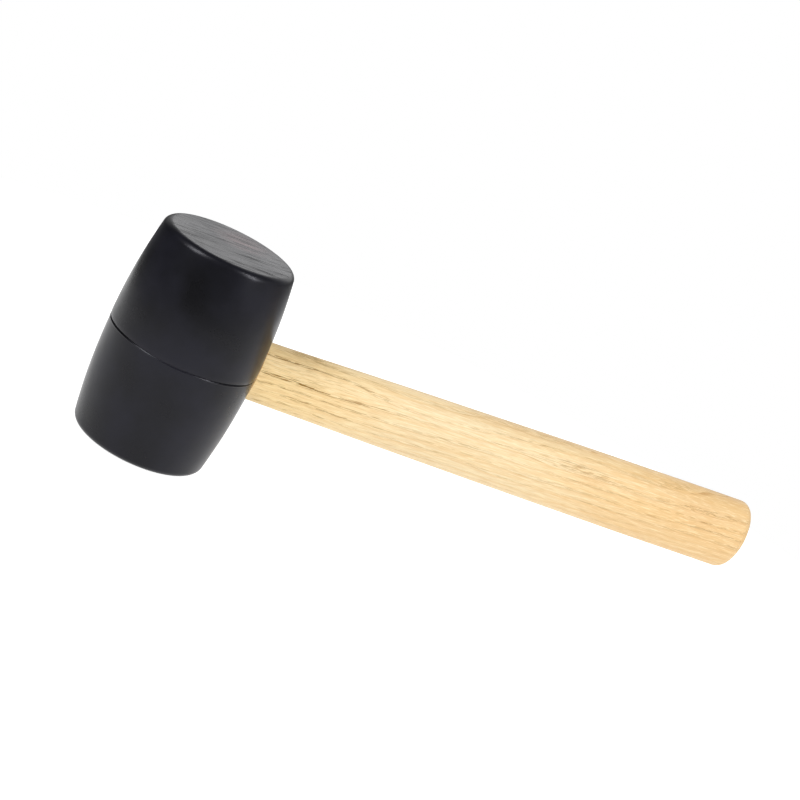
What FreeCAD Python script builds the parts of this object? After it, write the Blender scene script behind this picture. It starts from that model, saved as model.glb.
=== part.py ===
"""Rubber mallet: a moulded rubber head with a blind oval socket, an ash handle, and the glue between them.

Each piece is drawn about the centre of the head, where the head's axis (Z) crosses the handle's axis (X),
and is then lifted until the head's lower striking face lies on Z = 0. The butt points along +X.
Lengths are in millimetres.
"""

import FreeCAD
import Part
import os

import Sketcher
from FreeCAD import Vector

DRIVING_SIZES = {
    # whole tool
    "overall_length": 336.0,  # back of the head to the butt of the handle
    # rubber head: two shallow barrel halves that meet at the widest place
    "head_length": 96.0,
    "head_middle_diameter": 66.8,
    "head_face_diameter": 58.4,  # where the side and the face would meet if the rim were sharp
    "head_side_radius": 270.0,  # crown of the side of each half, seen in profile
    "face_edge_radius": 3.3,
    "flash_height": 0.25,  # trimmed rubber line where the two mould halves met
    "flash_thickness": 0.5,
    "mould_step": 0.15,  # the lower mould half is this much smaller in radius
    # blind socket and the glue in it
    "socket_depth": 50.0,
    "glue_gap": 0.3,
    "glue_floor": 1.2,
    "glue_bead_height": 0.9,
    "glue_bead_width": 1.3,
    # oval handle, from the hidden tenon to the butt: heights along Z, widths along Y
    "tenon_tip_height": 25.0,
    "tenon_tip_width": 17.7,
    "tenon_lead": 1.5,
    "neck_standoff": 2.6,  # the tenon's straight taper ends this far outside the head
    "neck_height": 27.4,
    "neck_width": 19.4,
    "waist_height": 31.0,
    "waist_width": 21.9,
    "palm_height": 33.8,
    "palm_width": 23.9,
    "butt_height": 35.4,
    "butt_width": 25.0,
    "butt_edge_radius": 5.6,
}

UP = Vector(0, 0, 1)  # along the head
ALONG = Vector(1, 0, 0)  # along the handle

# Places along the handle's axis, measured from the axis of the head.
HEAD_RADIUS = "sizes.head_middle_diameter / 2"
NECK_PLACE = f"{HEAD_RADIUS} + sizes.neck_standoff"
SOCKET_FLOOR = f"{HEAD_RADIUS} - sizes.socket_depth"
TENON_TIP = f"{SOCKET_FLOOR} + sizes.glue_floor"
BUTT_PLACE = f"sizes.overall_length - {HEAD_RADIUS}"
WAIST_PLACE = f"{NECK_PLACE} + ({BUTT_PLACE} - ({NECK_PLACE})) / 3"
PALM_PLACE = f"{NECK_PLACE} + ({BUTT_PLACE} - ({NECK_PLACE})) * 2 / 3"


def write_sizes(doc):
    """Keep the driving sizes in a spreadsheet, one named cell each."""
    sheet = doc.addObject("Spreadsheet::Sheet", "sizes")
    for row, (name, value) in enumerate(DRIVING_SIZES.items(), start=1):
        sheet.set(f"A{row}", name)
        sheet.set(f"B{row}", str(value))
        sheet.setAlias(f"B{row}", name)
    doc.recompute()
    return sheet


def add_body(doc, name):
    """A body lifted so that the head's lower face, and all that goes with it, stands on Z = 0."""
    body = doc.addObject("PartDesign::Body", name)
    body.Label = name
    body.setExpression("Placement.Base.z", "sizes.head_length / 2")
    return body


def origin_feature(body, role):
    """One of the body's own origin planes or axes."""
    return next(feature for feature in body.Origin.OriginFeatures if feature.Role == role)


def add_sketch(body, name, plane):
    """An empty sketch on one of the body's origin planes."""
    sketch = body.newObject("Sketcher::SketchObject", name)
    sketch.AttachmentSupport = [(origin_feature(body, plane), "")]
    sketch.MapMode = "FlatFace"
    return sketch


def set_size(sketch, constraint, expression):
    """Add a dimension to a sketch and tie it to the spreadsheet."""
    index = sketch.addConstraint(constraint)
    sketch.setExpression(f"Constraints[{index}]", expression)


def oval(body, name, place, height, width):
    """An ellipse across the handle's axis at `place`, with its height along Z and its width along Y."""
    sketch = add_sketch(body, name, "YZ_Plane")
    sketch.setExpression("AttachmentOffset.Base.z", place)
    half_height = sketch.evalExpression(height) / 2
    half_width = sketch.evalExpression(width) / 2
    centre = Vector(0, 0, 0)
    sketch.addGeometry(Part.Ellipse(Vector(0, half_height, 0), Vector(half_width, 0, 0), centre), False)
    sketch.exposeInternalGeometry(0)
    major_axis, minor_axis = 1, 2
    sketch.addConstraint(Sketcher.Constraint("Coincident", 0, 3, -1, 1))
    sketch.addConstraint(Sketcher.Constraint("Vertical", major_axis))
    set_size(sketch, Sketcher.Constraint("Distance", major_axis, 2 * half_height), height)
    set_size(sketch, Sketcher.Constraint("Distance", minor_axis, 2 * half_width), width)
    return sketch


def loft(body, kind, name, sections):
    """A loft of the given kind through oval sections."""
    feature = body.newObject(kind, name)
    feature.Profile = sections[0]
    feature.Sections = sections[1:]
    return feature


def side_arc(start, end, radius):
    """The crowned side of one half of the head, from `start` to `end` anticlockwise, bulging outwards."""
    chord = end - start
    outwards = Vector(chord.y, -chord.x, 0).normalize()
    sagitta = radius - (radius ** 2 - (chord.Length / 2) ** 2) ** 0.5
    return Part.Arc(start, (start + end) / 2 + outwards * sagitta, end)


def head_profile(body, sheet):
    """Half of the head's outline, to be turned about Z."""
    sketch = add_sketch(body, "head_profile", "XZ_Plane")
    middle = sheet.head_middle_diameter / 2
    face = sheet.head_face_diameter / 2
    top = sheet.head_length / 2
    corners = [
        Vector(0, -top, 0),
        Vector(face, -top, 0),
        Vector(middle - sheet.mould_step, 0, 0),
        Vector(middle + sheet.flash_height, 0, 0),
        Vector(middle + sheet.flash_height, sheet.flash_thickness, 0),
        Vector(middle, sheet.flash_thickness, 0),
        Vector(face, top, 0),
        Vector(0, top, 0),
    ]
    lower_face, lower_side, step, flash_rim, flash_top, upper_side, upper_face, axis = range(8)
    for index, start in enumerate(corners):
        end = corners[(index + 1) % len(corners)]
        curved = index in (lower_side, upper_side)
        edge = side_arc(start, end, sheet.head_side_radius) if curved else Part.LineSegment(start, end)
        sketch.addGeometry(edge, False)
    for index in range(8):
        following = (index + 1) % 8
        sketch.addConstraint(Sketcher.Constraint("Coincident", index, 2, following, 1))
    for index in (lower_face, step, flash_top, upper_face):
        sketch.addConstraint(Sketcher.Constraint("Horizontal", index))
    sketch.addConstraint(Sketcher.Constraint("Vertical", flash_rim))
    sketch.addConstraint(Sketcher.Constraint("PointOnObject", axis, 1, -2))
    sketch.addConstraint(Sketcher.Constraint("PointOnObject", step, 1, -1))
    sketch.addConstraint(Sketcher.Constraint("Symmetric", axis, 1, axis, 2, -1, 1))
    sketch.addConstraint(Sketcher.Constraint("Equal", lower_face, upper_face))
    sketch.addConstraint(Sketcher.Constraint("Equal", lower_side, upper_side))
    set_size(sketch, Sketcher.Constraint("Distance", axis, 2 * top), "sizes.head_length")
    set_size(sketch, Sketcher.Constraint("Distance", upper_face, face), "sizes.head_face_diameter / 2")
    set_size(sketch, Sketcher.Constraint("DistanceX", -1, 1, step, 1, middle - sheet.mould_step),
             f"{HEAD_RADIUS} - sizes.mould_step")
    set_size(sketch, Sketcher.Constraint("DistanceX", -1, 1, flash_rim, 1, middle + sheet.flash_height),
             f"{HEAD_RADIUS} + sizes.flash_height")
    set_size(sketch, Sketcher.Constraint("Distance", flash_rim, sheet.flash_thickness),
             "sizes.flash_thickness")
    set_size(sketch, Sketcher.Constraint("Distance", flash_top, sheet.flash_height),
             "sizes.flash_height")
    set_size(sketch, Sketcher.Constraint("Radius", upper_side, sheet.head_side_radius),
             "sizes.head_side_radius")
    return sketch


def edges_at(feature, direction, place):
    """Names of the feature's edges that lie wholly at one place along a direction."""
    names = []
    for number, edge in enumerate(feature.Shape.Edges, start=1):
        reach = [point.dot(direction) - place for point in edge.discretize(9)]
        if max(reach) < 1e-4 and min(reach) > -1e-4:
            names.append(f"Edge{number}")
    return names


def make_rubber_head(doc, sheet):
    """The moulded head: turned outline, rounded rims and a tapered blind socket."""
    body = add_body(doc, "rubber_head")
    barrel = body.newObject("PartDesign::Revolution", "barrel")
    barrel.Profile = head_profile(body, sheet)
    barrel.ReferenceAxis = (origin_feature(body, "Z_Axis"), [""])
    barrel.Angle = 360
    doc.recompute()

    rims = body.newObject("PartDesign::Fillet", "rounded_rims")
    top = sheet.head_length / 2
    rims.Base = (barrel, edges_at(barrel, UP, top) + edges_at(barrel, UP, -top))
    rims.setExpression("Radius", "sizes.face_edge_radius")
    doc.recompute()
    solid_volume = rims.Shape.Volume

    mouth = oval(body, "socket_mouth", NECK_PLACE,
                 "sizes.neck_height + 2 * sizes.glue_gap", "sizes.neck_width + 2 * sizes.glue_gap")
    floor = oval(body, "socket_floor", SOCKET_FLOOR,
                 "sizes.tenon_tip_height + 2 * sizes.glue_gap", "sizes.tenon_tip_width + 2 * sizes.glue_gap")
    socket = loft(body, "PartDesign::SubtractiveLoft", "socket", [mouth, floor])
    doc.recompute()
    if not socket.Shape.Volume < solid_volume:
        raise RuntimeError("the socket removed nothing from the head")
    return body


def make_handle(doc, sheet):
    """The handle: a straight tapered tenon, then a grip that swells smoothly to a rounded butt."""
    body = add_body(doc, "handle")
    tip = oval(body, "tenon_tip", TENON_TIP, "sizes.tenon_tip_height", "sizes.tenon_tip_width")
    neck = oval(body, "neck", NECK_PLACE, "sizes.neck_height", "sizes.neck_width")
    waist = oval(body, "waist", WAIST_PLACE, "sizes.waist_height", "sizes.waist_width")
    palm = oval(body, "palm", PALM_PLACE, "sizes.palm_height", "sizes.palm_width")
    butt = oval(body, "butt", BUTT_PLACE, "sizes.butt_height", "sizes.butt_width")
    loft(body, "PartDesign::AdditiveLoft", "tenon", [tip, neck])
    grip = loft(body, "PartDesign::AdditiveLoft", "grip", [neck, waist, palm, butt])
    doc.recompute()

    lead = body.newObject("PartDesign::Chamfer", "tenon_lead")
    lead.Base = (grip, edges_at(grip, ALONG, sheet.evalExpression(TENON_TIP)))
    lead.setExpression("Size", "sizes.tenon_lead")
    doc.recompute()

    rounding = body.newObject("PartDesign::Fillet", "rounded_butt")
    rounding.Base = (lead, edges_at(lead, ALONG, sheet.evalExpression(BUTT_PLACE)))
    rounding.setExpression("Radius", "sizes.butt_edge_radius")
    doc.recompute()
    return body


def boolean(doc, kind, name, base, tool):
    """A Part boolean of two objects of the document."""
    result = doc.addObject(kind, name)
    result.Label = name
    result.Base = base
    result.Tool = tool
    return result


def make_adhesive(doc, head, handle):
    """The cured glue: an oval plug, trimmed round the barrel, less the rubber and the wood."""
    blank = add_body(doc, "glue_blank")
    outline = oval(blank, "bead_outline", f"{SOCKET_FLOOR} - sizes.glue_bead_width",
                   "sizes.neck_height + 2 * (sizes.glue_gap + sizes.glue_bead_width)",
                   "sizes.neck_width + 2 * (sizes.glue_gap + sizes.glue_bead_width)")
    plug = blank.newObject("PartDesign::Pad", "plug")
    plug.Profile = outline
    plug.setExpression("Length", "sizes.socket_depth + sizes.neck_standoff + 2 * sizes.glue_bead_width")

    bead_reach = doc.addObject("Part::Cylinder", "bead_reach")
    bead_reach.setExpression("Radius", f"{HEAD_RADIUS} + sizes.glue_bead_height")
    bead_reach.setExpression("Height", "sizes.head_length")
    trimmed_plug = boolean(doc, "Part::Common", "trimmed_plug", blank, bead_reach)
    glue_and_tenon = boolean(doc, "Part::Cut", "glue_and_tenon", trimmed_plug, head)
    return boolean(doc, "Part::Cut", "adhesive", glue_and_tenon, handle)


def faults(doc, pieces):
    """What is wrong with the document or its pieces, in words; empty when all is well."""
    found = [f"{item.Label}: {state}" for item in doc.Objects for state in item.State
             if state in ("Invalid", "Error")]
    for piece in pieces:
        if piece.Shape.isNull() or not piece.Shape.isValid():
            found.append(f"{piece.Label}: no valid shape")
        elif len(piece.Shape.Solids) != 1:
            found.append(f"{piece.Label}: {len(piece.Shape.Solids)} solids instead of one")
    return found


def build():
    """Make every piece, check it, and write one STEP file for each."""
    doc = FreeCAD.newDocument("rubber_mallet")
    sheet = write_sizes(doc)
    head = make_rubber_head(doc, sheet)
    handle = make_handle(doc, sheet)
    adhesive = make_adhesive(doc, head, handle)
    doc.recompute()
    pieces = [head, handle, adhesive]
    found = faults(doc, pieces)
    if found:
        raise RuntimeError("; ".join(found))
    os.makedirs("parts", exist_ok=True)
    for piece in pieces:
        piece.Shape.exportStep(f"parts/{piece.Label}.step")


build()
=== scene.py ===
import math

import bmesh
import bpy
import numpy as np
from mathutils import Matrix, Vector, noise


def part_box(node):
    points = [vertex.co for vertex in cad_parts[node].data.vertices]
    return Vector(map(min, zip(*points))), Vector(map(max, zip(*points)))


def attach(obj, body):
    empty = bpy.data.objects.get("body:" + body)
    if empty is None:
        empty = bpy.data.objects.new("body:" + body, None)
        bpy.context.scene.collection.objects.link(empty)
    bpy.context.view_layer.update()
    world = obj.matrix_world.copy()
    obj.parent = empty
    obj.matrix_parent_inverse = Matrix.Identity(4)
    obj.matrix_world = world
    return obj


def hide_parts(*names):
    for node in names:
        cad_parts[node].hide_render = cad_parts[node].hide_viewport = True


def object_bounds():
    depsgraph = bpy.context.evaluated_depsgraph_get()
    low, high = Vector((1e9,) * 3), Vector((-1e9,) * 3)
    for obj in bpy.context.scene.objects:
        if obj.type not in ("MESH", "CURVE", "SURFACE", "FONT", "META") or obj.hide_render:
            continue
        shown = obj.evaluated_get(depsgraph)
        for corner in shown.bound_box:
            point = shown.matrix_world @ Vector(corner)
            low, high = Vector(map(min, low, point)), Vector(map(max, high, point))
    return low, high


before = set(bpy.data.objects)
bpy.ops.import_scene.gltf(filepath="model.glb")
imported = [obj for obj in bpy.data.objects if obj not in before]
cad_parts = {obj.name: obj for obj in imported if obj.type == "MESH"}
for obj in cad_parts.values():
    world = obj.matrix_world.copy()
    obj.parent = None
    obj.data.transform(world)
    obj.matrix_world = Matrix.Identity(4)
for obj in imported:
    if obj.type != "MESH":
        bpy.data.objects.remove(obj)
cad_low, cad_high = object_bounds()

# ---------------------------------------------------------------------------------------------
# Handle. One stick of pale ash, turned oval on a copying lathe, sanded and given a thin clear
# coat. Its tapered tenon is driven into the head and is glued there; the butt is sanded round.
# ---------------------------------------------------------------------------------------------
mm = 0.001
mid_height = (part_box("rubber_head")[0].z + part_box("rubber_head")[1].z) / 2
tenon_tip, butt_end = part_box("handle")[0].x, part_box("handle")[1].x
neck_place = 36 * mm
tenon_tip_size = np.array([17.7, 25.0]) * mm  # width across the handle, height along the head
oval_sizes = np.array([[19.4, 27.4], [21.9, 31.0], [23.9, 33.8], [25.0, 35.4]]) * mm
oval_places = np.linspace(neck_place, butt_end, len(oval_sizes))
tenon_lead = 1.5 * mm
butt_rounding = 5.6 * mm
butt_crown = 0.7 * mm
around_handle = 192


def oval_size(x):
    """Width and height of the handle's section at a place along it."""
    if x < neck_place:
        share = (x - tenon_tip) / (neck_place - tenon_tip)
        return tenon_tip_size + (oval_sizes[0] - tenon_tip_size) * share
    return np.array([np.polyval(np.polyfit(oval_places, sizes, 3), x) for sizes in oval_sizes.T])


def oval_ring(x, size, inset=0.0, around=around_handle):
    """Points of an oval across the handle, moved inwards from its outline by the inset."""
    angles = np.linspace(0, 2 * np.pi, around, endpoint=False)
    half_width, half_height = size / 2
    y, z = half_width * np.cos(angles), half_height * np.sin(angles)
    normal_y, normal_z = half_height * np.cos(angles), half_width * np.sin(angles)
    length = np.hypot(normal_y, normal_z)
    along = np.full(around, x)
    y, z = y - inset * normal_y / length, z - inset * normal_z / length
    return np.column_stack([along, y, mid_height + z])


def skin(name, rings, first_centre, last_centre):
    """A closed mesh over rings of equal point count, with a centre point closing each end."""
    count = len(rings[0])
    points = [first_centre, *np.concatenate(rings), last_centre]
    faces = []
    for i in range(count):
        following = (i + 1) % count
        faces.append((0, 1 + following, 1 + i))
        for row in range(len(rings) - 1):
            low, high = 1 + row * count, 1 + (row + 1) * count
            faces.append((low + i, low + following, high + following, high + i))
        last = 1 + (len(rings) - 1) * count
        faces.append((last + i, last + following, len(points) - 1))
    mesh = bpy.data.meshes.new(name)
    mesh.from_pydata([tuple(point) for point in points], [], faces)
    tidy = bmesh.new()
    tidy.from_mesh(mesh)
    bmesh.ops.recalc_face_normals(tidy, faces=tidy.faces)
    tidy.to_mesh(mesh)
    tidy.free()
    mesh.shade_smooth()
    piece = bpy.data.objects.new(name, mesh)
    bpy.context.scene.collection.objects.link(piece)
    return piece


sanding_depth = 0.10 * mm


def sanding_dips(ring, depth=sanding_depth):
    """The long shallow unevenness that belt sanding leaves on a stick."""
    for point in ring:
        place = Vector((point[0] * 22, point[1] * 90, point[2] * 90))
        point[1] += depth * noise.noise(place) * np.sign(point[1])
        point[2] += depth * noise.noise(place + Vector((7, 3, 5))) * np.sign(point[2] - mid_height)
    return ring


# rings from the tenon's tip to the butt: tip, chamfered lead, tenon, visible handle, rounded butt
handle_rings = []
for share in (0.25, 0.5, 0.75):
    handle_rings.append(oval_ring(tenon_tip, oval_size(tenon_tip) * share))
for step in (1.0, 0.5):
    x = tenon_tip + tenon_lead * (1 - step)
    handle_rings.append(oval_ring(x, oval_size(tenon_tip), tenon_lead * step))
for x in np.linspace(tenon_tip + tenon_lead, neck_place, 14, endpoint=False):
    handle_rings.append(oval_ring(x, oval_size(x)))
rounding_start = butt_end - butt_crown - butt_rounding
for x in np.linspace(neck_place, rounding_start, 150):
    fade_in = min(1, (x - neck_place) / (10 * mm))
    handle_rings.append(sanding_dips(oval_ring(x, oval_size(x)), sanding_depth * fade_in))
for turn in np.radians(np.arange(7.5, 90.1, 7.5)):
    x = rounding_start + butt_rounding * math.sin(turn)
    inset = butt_rounding * (1 - math.cos(turn))
    handle_rings.append(sanding_dips(oval_ring(x, oval_size(x), inset)))
crown_rim = handle_rings[-1]
crown_centre = np.array([crown_rim[:, 0].mean(), 0, mid_height])
for share in np.linspace(0.9, 0.1, 9):
    ring = crown_centre + (crown_rim - crown_centre) * share
    ring[:, 0] += butt_crown * (1 - share ** 2)
    handle_rings.append(ring)
handle = skin("ash_handle", handle_rings, (tenon_tip, 0, mid_height), (butt_end, 0, mid_height))


def node(material, kind, inputs=None, **settings):
    """Add a shader node; an input is a plain value or the output that feeds it."""
    made = material.node_tree.nodes.new(kind)
    for name, value in settings.items():
        setattr(made, name, value)
    for name, value in (inputs or {}).items():
        if isinstance(value, bpy.types.NodeSocket):
            material.node_tree.links.new(value, made.inputs[name])
        else:
            made.inputs[name].default_value = value
    return made


def math_node(material, operation, first, second=0.0, third=0.0, clamp=False):
    """One sum or comparison; returns its output."""
    made = node(material, "ShaderNodeMath", {0: first, 1: second, 2: third}, operation=operation,
                use_clamp=clamp)
    return made.outputs[0]


def ramp(material, value, low, high, to_low=0.0, to_high=1.0):
    """Carry a value smoothly from one range to another."""
    made = node(material, "ShaderNodeMapRange", {"Value": value, "From Min": low, "From Max": high,
                                                 "To Min": to_low, "To Max": to_high},
                interpolation_type="SMOOTHSTEP")
    return made.outputs["Result"]


def blend_colour(material, share, first, second):
    """Mix two colours; returns the output."""
    made = node(material, "ShaderNodeMix", data_type="RGBA")
    for socket, value in ((made.inputs[0], share), (made.inputs[6], first), (made.inputs[7], second)):
        if isinstance(value, bpy.types.NodeSocket):
            material.node_tree.links.new(value, socket)
        else:
            socket.default_value = value
    return made.outputs[2]


def grain_noise(material, coords, scale, stretch, detail=3.0, roughness=0.5, offset=(0, 0, 0)):
    """Noise drawn out along X: `stretch` times longer than it is wide."""
    squeezed = node(material, "ShaderNodeMapping", {"Vector": coords, "Location": offset,
                                                    "Scale": (scale / stretch, scale, scale)})
    made = node(material, "ShaderNodeTexNoise", {"Vector": squeezed.outputs[0], "Scale": 1.0,
                                                 "Detail": detail, "Roughness": roughness})
    return made.outputs["Fac"]


ring_spacing = 4.0 * mm
pith_side, pith_below = 18 * mm, 74 * mm  # where the tree's heart was, from the handle's axis
neck_rise = 2.2 * mm


def make_ash():
    """Ash: yearly rings cut lengthwise, bands of open pores, fine fibre streaks, a clear coat."""
    ash = bpy.data.materials.new("ash_wood")
    ash.use_nodes = True
    ash.node_tree.nodes.clear()
    place = node(ash, "ShaderNodeTexCoord").outputs["Object"]
    # the grain leans against the handle's axis, rises a little more near the head, and wanders
    leaning = node(ash, "ShaderNodeMapping", {
        "Vector": place, "Rotation": (0, math.radians(1.9), math.radians(1.0)),
        "Location": (0, 0, -mid_height)}).outputs[0]
    wander = node(ash, "ShaderNodeTexNoise", {"Vector": leaning, "Scale": 7.0,
                                              "Detail": 0.5}).outputs["Color"]
    bent = node(ash, "ShaderNodeVectorMath", {0: wander, 1: (0.0, 0.004, 0.0038), 2: leaning},
                operation="MULTIPLY_ADD").outputs[0]
    split = node(ash, "ShaderNodeSeparateXYZ", {"Vector": bent}).outputs
    near_neck = ramp(ash, split["X"], 0.12, 0.035)
    from_pith_y = math_node(ash, "SUBTRACT", split["Y"], pith_side)
    risen = math_node(ash, "MULTIPLY_ADD", near_neck, -neck_rise, split["Z"])
    from_pith_z = math_node(ash, "SUBTRACT", risen, -pith_below)
    reach = math_node(ash, "SQRT", math_node(ash, "MULTIPLY_ADD", from_pith_y, from_pith_y,
                                             math_node(ash, "MULTIPLY", from_pith_z, from_pith_z)))
    uneven = grain_noise(ash, bent, 110.0, 7.0, detail=0.5, offset=(2, 2, 6))
    years = math_node(ash, "MULTIPLY_ADD", uneven, 1.9, math_node(ash, "DIVIDE", reach, ring_spacing))
    season = math_node(ash, "FRACT", years)
    early = math_node(ash, "MULTIPLY", ramp(ash, season, 0.0, 0.05), ramp(ash, season, 0.36, 0.16))
    late = ramp(ash, season, 0.50, 1.0)

    fibre = grain_noise(ash, bent, 3000.0, 22.0, detail=2.0)
    streak = grain_noise(ash, bent, 800.0, 45.0, offset=(3, 1, 2))
    patch = grain_noise(ash, bent, 70.0, 3.0, offset=(5, 2, 9))
    pores = grain_noise(ash, bent, 4000.0, 26.0, detail=1.0, offset=(1, 4, 2))
    richer = grain_noise(ash, bent, 60.0, 2.5, offset=(8, 8, 1))
    upper = ramp(ash, split["Z"], -0.004, 0.007)
    strong = math_node(ash, "MULTIPLY", near_neck, math_node(ash, "MULTIPLY_ADD", upper, 0.7, 0.3))
    many = math_node(ash, "MULTIPLY_ADD", strong, 0.06, math_node(ash, "MULTIPLY_ADD", richer, 0.22, pores))
    open_pore = ramp(ash, math_node(ash, "MULTIPLY_ADD", early, 0.10, many), 0.725, 0.765)
    depth = math_node(ash, "MULTIPLY_ADD", strong, 0.60, ramp(ash, patch, 0.35, 0.65, 0.24, 0.46))
    # the top and the underside follow the rings, so their pores are sanded shallower
    flank = ramp(ash, math_node(ash, "ABSOLUTE", split["Z"]), 0.015, 0.008, 0.45, 1.0)
    pore = math_node(ash, "MULTIPLY", math_node(ash, "MULTIPLY", open_pore, flank), math_node(
        ash, "MULTIPLY", depth, math_node(ash, "MULTIPLY_ADD", early, 0.7, 0.3)))
    # the thin brown line where one year's dense wood meets the next year's pores
    toward_butt = ramp(ash, split["X"], 0.17, 0.30)
    ring_line = math_node(ash, "MULTIPLY", ramp(ash, season, 0.94, 0.985), ramp(
        ash, math_node(ash, "MULTIPLY_ADD", toward_butt, 0.06, streak), 0.42, 0.56))

    pale, cream, tan = (0.71, 0.498, 0.247, 1), (0.715, 0.575, 0.354, 1), (0.61, 0.370, 0.157, 1)
    # painted highlight: a paler cream band from the neck to mid-handle, which also paints light on the neck
    # against the head's shade
    painted_highlight_band = math_node(ash, "MULTIPLY", ramp(ash, split["X"], 0.03, 0.08),
                         ramp(ash, split["X"], 0.24, 0.16))
    body = blend_colour(ash, math_node(ash, "MULTIPLY_ADD", painted_highlight_band, 0.6, math_node(
        ash, "MULTIPLY", ramp(ash, streak, 0.35, 0.65), 0.5), clamp=True), pale, cream)
    body = blend_colour(ash, math_node(ash, "MULTIPLY", late, 0.26), body, tan)
    body = blend_colour(ash, math_node(ash, "MULTIPLY_ADD", toward_butt, 0.36, math_node(
        ash, "MULTIPLY", ramp(ash, patch, 0.5, 0.75), 0.30)), body, tan)
    # painted light: the wood is made lighter near the head, where the head shades the neck
    body = blend_colour(ash, math_node(ash, "MULTIPLY", near_neck, 0.75), body, (0.87, 0.655, 0.325, 1))
    body = blend_colour(ash, ramp(ash, fibre, 0.48, 0.66, 0.0, 0.34), body, tan)
    body = blend_colour(ash, ramp(ash, fibre, 0.46, 0.34, 0.0, 0.40), body, (0.88, 0.73, 0.46, 1))
    body = blend_colour(ash, math_node(ash, "MULTIPLY", ring_line, 0.55), body, (0.42, 0.22, 0.06, 1))
    body = blend_colour(ash, pore, body, (0.23, 0.105, 0.010, 1))

    height = math_node(ash, "MULTIPLY_ADD", pore, -1.0, math_node(ash, "MULTIPLY", fibre, 0.25))
    bump = node(ash, "ShaderNodeBump", {"Height": height, "Distance": 0.12 * mm, "Strength": 0.6})
    wood = node(ash, "ShaderNodeBsdfPrincipled", {
        "Base Color": body, "Roughness": ramp(ash, pore, 0.0, 1.0, 0.48, 0.80),
        "Specular IOR Level": ramp(ash, pore, 0.0, 0.5, 0.22, 0.02), "Coat Weight": 0.03,
        "Coat Roughness": 0.30, "Normal": bump.outputs[0]})
    node(ash, "ShaderNodeOutputMaterial", {"Surface": wood.outputs[0]})
    return ash


handle.data.materials.append(make_ash())
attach(handle, "root")
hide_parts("handle")

# ---------------------------------------------------------------------------------------------
# Head. One moulding of black, heavily filled rubber from a two-part mould: two shallow barrel
# halves that meet at a trimmed flash line, rounded rims, and a blind oval socket for the tenon.
# ---------------------------------------------------------------------------------------------
head_bottom, head_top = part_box("rubber_head")[0].z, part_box("rubber_head")[1].z
half_length = (head_top - head_bottom) / 2
middle_radius = 33.4 * mm
face_radius = 29.2 * mm
side_crown = 1.08 * mm
rim_rounding = 3.3 * mm
face_dish = 0.25 * mm
mould_step = 0.20 * mm
seam_zone = 3.2 * mm
around_head = 384
glue_gap = 0.3 * mm
socket_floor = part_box("adhesive")[0].x


def side_radius(height, step=0.0):
    """Radius of the barrel's side at a height above or below the parting plane."""
    share = abs(height) / half_length
    straight = middle_radius - step + (face_radius - middle_radius + step) * share
    return straight + 4 * side_crown * share * (1 - share)


def half_outline(step, turn_in):
    """Radius and height from the centre of a face out to the parting plane, for one mould half.

    `step` makes the whole half smaller; `turn_in` draws only its edge at the parting plane inwards.
    """
    lean = math.asin((side_radius(half_length * 0.9) - side_radius(half_length)) / (half_length * 0.1))
    centre_height = half_length - rim_rounding
    centre_radius = side_radius(centre_height, step) - rim_rounding / math.cos(lean)
    outline = []
    for radius in np.linspace(2 * mm, centre_radius, 16):
        outline.append((radius, half_length - face_dish * (1 - (radius / centre_radius) ** 4)))
    for turn in np.linspace(math.pi / 2, lean, 13)[1:]:
        outline.append((centre_radius + rim_rounding * math.cos(turn),
                        centre_height + rim_rounding * math.sin(turn)))
    for height in np.linspace(outline[-1][1], seam_zone, 40)[1:]:
        outline.append((side_radius(height, step), height))
    for height in np.array([2.6, 2.0, 1.5, 1.1, 0.85]) * mm:
        outline.append((side_radius(height, step) - turn_in * (1 - height / seam_zone) ** 3, height))
    return outline


def head_rings():
    """Rings of the whole head, from the lower face up: lower half, flash, groove, lip, upper half."""
    lower = [(radius, -height) for radius, height in half_outline(mould_step, 0.0)]
    upper = half_outline(0.0, 0.30 * mm)
    seam = middle_radius - mould_step
    # each pair is a distance out from the lower half's edge and a height above the parting plane, in mm
    flash = [(0.00, -0.75), (0.06, -0.62), (0.11, -0.54), (0.12, -0.48), (-0.12, -0.02), (-0.20, 0.03)]
    groove = [(-0.50, 0.07), (-0.50, 0.28), (-0.30, 0.37)]
    lip = [(-0.02, 0.44), (0.03, 0.60)]
    outline = [(radius, height, 0.0) for radius, height in lower]
    outline += [(seam + radius * mm, height * mm, 0.0) for radius, height in flash]
    outline += [(seam, height * mm, radius * mm) for radius, height in groove]
    outline += [(seam + radius * mm, height * mm, 0.0) for radius, height in lip]
    outline += [(radius, height, 0.0) for radius, height in upper[::-1]]
    angles = np.linspace(0, 2 * np.pi, around_head, endpoint=False)
    # the groove above the flash opens and closes four times round the head
    gaping = 0.60 + 0.40 * np.cos(4 * (angles + math.radians(165)))
    rings = []
    for radius, height, depth in outline:
        out = radius + depth * gaping
        heights = np.full(around_head, mid_height + height)
        rings.append(np.column_stack([out * np.cos(angles), out * np.sin(angles), heights]))
    return rings


def moulded_unevenness(ring):
    """Rubber comes out of the mould slightly out of round, with faint flow marks."""
    for point in ring:
        place = Vector(point)
        out = Vector((point[0], point[1], 0))
        amount = 0.10 * mm * noise.noise(place * 35) + 0.025 * mm * noise.noise(place * 180)
        near_edge = min(1.0, out.length / face_radius) ** 4
        point[:2] += np.array(out.normalized()[:2]) * amount * near_edge
    return ring


rings = [moulded_unevenness(ring) for ring in head_rings()]
head = skin("moulded_head", rings, (0, 0, head_bottom + face_dish), (0, 0, head_top - face_dish))


def socket_size(x):
    """Width and height of the socket at a place along the handle: the tenon's taper plus the gap."""
    share = (x - socket_floor) / (neck_place - socket_floor)
    return tenon_tip_size + (oval_sizes[0] - tenon_tip_size) * share + 2 * glue_gap


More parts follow.
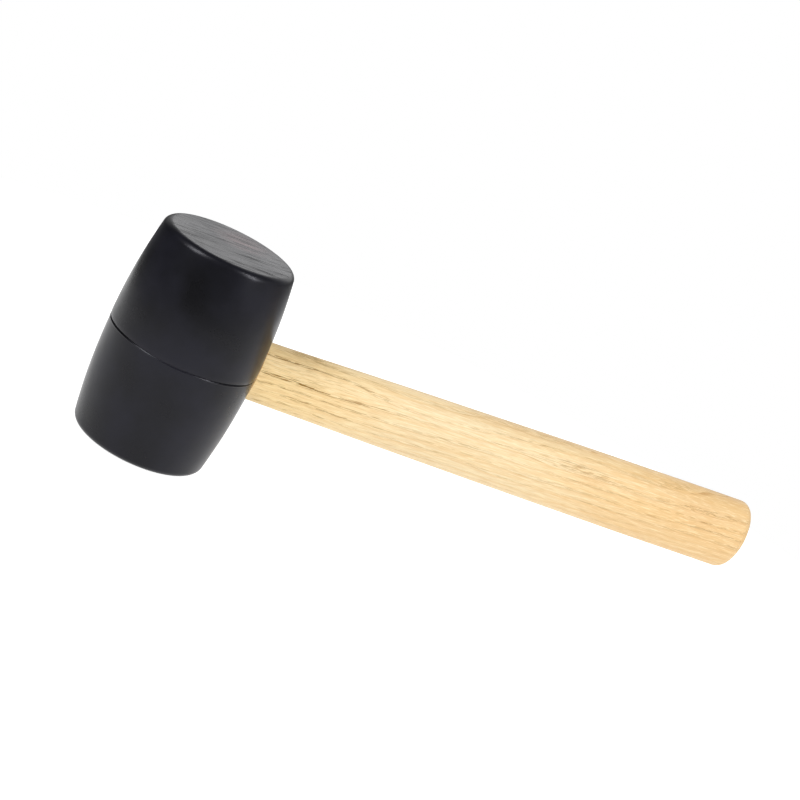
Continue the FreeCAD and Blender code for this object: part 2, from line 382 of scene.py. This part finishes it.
core_end = neck_place + 4 * mm
core_rings = [oval_ring(x, socket_size(x)) for x in np.linspace(socket_floor, core_end, 12)]
core = skin("socket_core", core_rings, (socket_floor, 0, mid_height), (core_end, 0, mid_height))
socket = head.modifiers.new("socket", "BOOLEAN")
socket.operation = "DIFFERENCE"
socket.solver = "EXACT"
socket.object = core
cut_mesh = bpy.data.meshes.new_from_object(head.evaluated_get(bpy.context.evaluated_depsgraph_get()))
head.modifiers.clear()
head.data = cut_mesh
bpy.data.objects.remove(core)


def make_rubber():
    """Black rubber: satin mould skin, fine scuffs and drawn streaks on the faces, a dusty bloom."""
    rubber = bpy.data.materials.new("black_rubber")
    rubber.use_nodes = True
    rubber.node_tree.nodes.clear()
    place = node(rubber, "ShaderNodeTexCoord").outputs["Object"]
    facing = node(rubber, "ShaderNodeNewGeometry").outputs["Normal"]
    up = node(rubber, "ShaderNodeSeparateXYZ", {"Vector": facing}).outputs["Z"]
    on_face = ramp(rubber, math_node(rubber, "ABSOLUTE", up), 0.90, 0.995)
    cloud = node(rubber, "ShaderNodeTexNoise", {"Vector": place, "Scale": 38.0,
                                                "Detail": 4.0}).outputs["Fac"]
    grit = node(rubber, "ShaderNodeTexNoise", {"Vector": place, "Scale": 1700.0,
                                               "Detail": 2.0}).outputs["Fac"]
    drawn = grain_noise(rubber, place, 800.0, 16.0, detail=3.0, roughness=0.6)
    coarse = grain_noise(rubber, place, 170.0, 6.0, detail=1.0, offset=(4, 0, 3))
    scuff = math_node(rubber, "MULTIPLY", ramp(rubber, drawn, 0.46, 0.68),
                      ramp(rubber, coarse, 0.25, 0.65, 0.25, 1.0))
    scuff = math_node(rubber, "MULTIPLY", scuff, on_face)
    dark_lines = math_node(rubber, "MULTIPLY", ramp(rubber, drawn, 0.48, 0.34),
                           ramp(rubber, coarse, 0.62, 0.35, 0.45, 1.0))
    dark_lines = math_node(rubber, "MULTIPLY", dark_lines, on_face)
    bloom_place = node(rubber, "ShaderNodeVectorMath", {0: place, 1: (0.008, 0.011, head_top)},
                       operation="DISTANCE").outputs["Value"]
    bloom = math_node(rubber, "MULTIPLY", ramp(rubber, bloom_place, 0.017, 0.003),
                      ramp(rubber, drawn, 0.35, 0.6))

    black, grey = (0.0050, 0.0050, 0.0058, 1), (0.0088, 0.0088, 0.0130, 1)
    body = blend_colour(rubber, ramp(rubber, cloud, 0.35, 0.7), black, grey)
    worn = math_node(rubber, "MULTIPLY", on_face, ramp(rubber, coarse, 0.35, 0.65, 0.2, 0.9))
    body = blend_colour(rubber, worn, body, (0.034, 0.034, 0.039, 1))
    body = blend_colour(rubber, math_node(rubber, "MULTIPLY", scuff, 0.7), body, (0.080, 0.077, 0.081, 1))
    body = blend_colour(rubber, math_node(rubber, "MULTIPLY", dark_lines, 0.9), body,
                        (0.004, 0.004, 0.005, 1))
    body = blend_colour(rubber, math_node(rubber, "MULTIPLY", bloom, 0.55), body, (0.170, 0.100, 0.106, 1))
    # the faces rub shiny in use, so they are a little smoother than the side
    dull = math_node(rubber, "MULTIPLY_ADD", on_face, -0.06, ramp(rubber, cloud, 0.3, 0.7, 0.26, 0.34))
    dull = math_node(rubber, "MULTIPLY_ADD", dark_lines, 0.26, dull)
    dull = math_node(rubber, "MULTIPLY_ADD", scuff, 0.08, dull)
    height = math_node(rubber, "MULTIPLY_ADD", grit, 0.5, math_node(
        rubber, "MULTIPLY_ADD", math_node(rubber, "MULTIPLY", drawn, on_face), 1.6, cloud))
    bump = node(rubber, "ShaderNodeBump", {"Height": height, "Distance": 0.05 * mm, "Strength": 0.5})
    skin_shader = node(rubber, "ShaderNodeBsdfPrincipled", {
        "Base Color": body, "Roughness": dull, "Specular IOR Level": 0.20,
        "Specular Tint": (0.92, 0.92, 1.0, 1), "Normal": bump.outputs[0]})
    node(rubber, "ShaderNodeOutputMaterial", {"Surface": skin_shader.outputs[0]})
    return rubber


head.data.materials.clear()
head.data.materials.append(make_rubber())
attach(head, "root")
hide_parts("rubber_head")

# ---------------------------------------------------------------------------------------------
# Glue. Epoxy poured in the socket before the tenon was driven home: it fills the gap all round,
# the floor below the tip, and squeezed out at the mouth, where it set as a thin uneven fillet.
# ---------------------------------------------------------------------------------------------
bead_width = 1.1 * mm
bead_rise = 0.8 * mm
skin_gap = 0.01 * mm


def mouth_place(point):
    """How far along the handle the barrel's side lies at this point of the section."""
    return math.sqrt(side_radius(point[2] - mid_height) ** 2 - point[1] ** 2)


def squeeze(point):
    """How much glue came out here, as a share of the most."""
    return 0.72 + 0.5 * noise.noise(Vector((point[1], point[2], 0)) * 210)


def glue_rings():
    """From the tip of the tenon up the wood, over the bead, and down the rubber to the floor."""
    rings = [oval_ring(tenon_tip - skin_gap, oval_size(tenon_tip) * 0.5),
             oval_ring(tenon_tip - skin_gap, oval_size(tenon_tip), tenon_lead)]
    for x in np.linspace(tenon_tip + tenon_lead, middle_radius * 0.8, 8):
        rings.append(oval_ring(x, oval_size(x), -skin_gap))
    for turn in np.radians([90, 75, 60, 45, 30, 15, 0]):
        out = oval_ring(middle_radius, oval_size(middle_radius), -skin_gap)
        edge = oval_ring(middle_radius, oval_size(middle_radius), -bead_width)
        for wood, rim in zip(out, edge):
            share = squeeze(wood)
            wood += (rim - wood) * share * (1 - math.sin(turn))
            wood[0] = mouth_place(wood) + bead_rise * share * (1 - math.cos(turn)) + 2 * skin_gap
        rings.append(out)
    for x in np.linspace(middle_radius * 0.92, socket_floor + skin_gap, 8):
        rings.append(oval_ring(x, socket_size(x) - 2 * skin_gap))
    rings.append(oval_ring(socket_floor + skin_gap, tenon_tip_size * 0.5))
    return rings


glue = skin("glue_fillet", glue_rings(), (tenon_tip - skin_gap, 0, mid_height),
            (socket_floor + skin_gap, 0, mid_height))


def make_glue():
    """Cured amber epoxy, clouded with fine dust."""
    epoxy = bpy.data.materials.new("cured_glue")
    epoxy.use_nodes = True
    epoxy.node_tree.nodes.clear()
    place = node(epoxy, "ShaderNodeTexCoord").outputs["Object"]
    cloud = node(epoxy, "ShaderNodeTexNoise", {"Vector": place, "Scale": 260.0,
                                               "Detail": 3.0}).outputs["Fac"]
    body = blend_colour(epoxy, ramp(epoxy, cloud, 0.35, 0.65), (0.30, 0.17, 0.055, 1),
                        (0.46, 0.30, 0.12, 1))
    surface = node(epoxy, "ShaderNodeBsdfPrincipled", {
        "Base Color": body, "Roughness": ramp(epoxy, cloud, 0.3, 0.7, 0.18, 0.35)})
    node(epoxy, "ShaderNodeOutputMaterial", {"Surface": surface.outputs[0]})
    return epoxy


glue.data.materials.append(make_glue())
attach(glue, "root")
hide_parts("adhesive")

# ---------------------------------------------------------------------------------------------
# Studio. A round glowing table top of white card under the mallet, a soft box on either side in
# front, a pale wall on the right and behind, a dim ceiling panel, and a dark room elsewhere.
# ---------------------------------------------------------------------------------------------
card = bpy.data.objects.new("white_card", bpy.data.meshes.new("white_card"))
disc = bmesh.new()
bmesh.ops.create_circle(disc, cap_ends=True, segments=128, radius=0.43)
disc.to_mesh(card.data)
disc.free()
card.location = (0.10, -0.10, cad_low.z)
bpy.context.scene.collection.objects.link(card)
card_paint = bpy.data.materials.new("white_card")
card_paint.use_nodes = True
table_top = card_paint.node_tree.nodes["Principled BSDF"]
table_top.inputs["Base Color"].default_value = (0.5, 0.5, 0.5, 1)
table_top.inputs["Roughness"].default_value = 0.9
table_top.inputs["Specular IOR Level"].default_value = 0.1
table_top.inputs["Emission Color"].default_value = (1, 1, 1, 1)
table_top.inputs["Emission Strength"].default_value = 0.85
card.data.materials.append(card_paint)


def direction(azimuth, elevation):
    """Unit vector away from the mallet; azimuth 0 is -Y, 90 is +X, and elevation is above level."""
    a, e = math.radians(azimuth), math.radians(elevation)
    return Vector((math.sin(a) * math.cos(e), -math.cos(a) * math.cos(e), math.sin(e)))


light_target = Vector((0.09, 0, mid_height))


def soft_box(name, azimuth, elevation, distance, width, height, radiance, mirrored=True):
    """A rectangular light that faces the mallet, unseen by the camera; it may show in reflections."""
    lamp = bpy.data.lights.new(name, "AREA")
    lamp.shape = "RECTANGLE"
    lamp.size, lamp.size_y = width, height
    lamp.energy = radiance * math.pi * width * height
    box = bpy.data.objects.new(name, lamp)
    away = direction(azimuth, elevation)
    box.location = light_target + away * distance
    box.rotation_mode = "QUATERNION"
    box.rotation_quaternion = away.to_track_quat("Z", "Y")
    box.visible_camera = False
    box.visible_glossy = mirrored
    bpy.context.scene.collection.objects.link(box)


soft_box("left_soft_box", -76, 36, 1.2, 0.34, 0.70, 15)
soft_box("right_soft_box", 31, 35, 1.2, 0.13, 0.94, 32)
soft_box("right_wall", 62, 12, 1.3, 1.0, 1.2, 0.45)
soft_box("back_wall", 146, 26, 1.3, 1.0, 0.6, 0.85)
soft_box("ceiling", 143, 62, 1.3, 0.8, 0.8, 0.9, mirrored=False)

room = bpy.data.worlds.new("room")
bpy.context.scene.world = room
room.use_nodes = True
room.node_tree.nodes.clear()
# what lights the mallet fades away from the back, and below level; the camera sees plain white
looking = node(room, "ShaderNodeTexCoord").outputs["Generated"]
away_from_camera = node(room, "ShaderNodeVectorMath", {0: looking, 1: tuple(direction(143, 0))},
                        operation="DOT_PRODUCT").outputs["Value"]
height_seen = node(room, "ShaderNodeSeparateXYZ", {"Vector": looking}).outputs["Z"]
dimming = math_node(room, "MULTIPLY", ramp(room, away_from_camera, 0.3, 0.97, 0.03, 0.62),
                    ramp(room, height_seen, 0.0, 0.24, 0.35, 1.0))
wall = node(room, "ShaderNodeBackground", {"Color": (1, 1, 1, 1), "Strength": dimming})
backdrop = node(room, "ShaderNodeBackground", {"Color": (1, 1, 1, 1), "Strength": 1.0})
seen = node(room, "ShaderNodeLightPath").outputs["Is Camera Ray"]
mixed = node(room, "ShaderNodeMixShader", {0: seen, 1: wall.outputs[0], 2: backdrop.outputs[0]})
node(room, "ShaderNodeOutputWorld", {"Surface": mixed.outputs[0]})

# ---------------------------------------------------------------------------------------------
# Camera. It looks down a little on the near side and the back of the head, and leans over, so
# that the handle runs downhill to the right.
# ---------------------------------------------------------------------------------------------
camera = bpy.data.objects.new("camera", bpy.data.cameras.new("camera"))
camera.data.lens = 88.3
aim = Vector((0.1032, 0, mid_height + 0.0087))
away = direction(-27.81, 16.04)
level = away.to_track_quat("Z", "Y")
lean = Matrix.Rotation(math.radians(27.65), 4, "Z")
camera.matrix_world = Matrix.Translation(aim + away * 0.8689) @ level.to_matrix().to_4x4() @ lean
bpy.context.scene.collection.objects.link(camera)
bpy.context.scene.camera = camera
bpy.context.scene.view_settings.view_transform = "Standard"
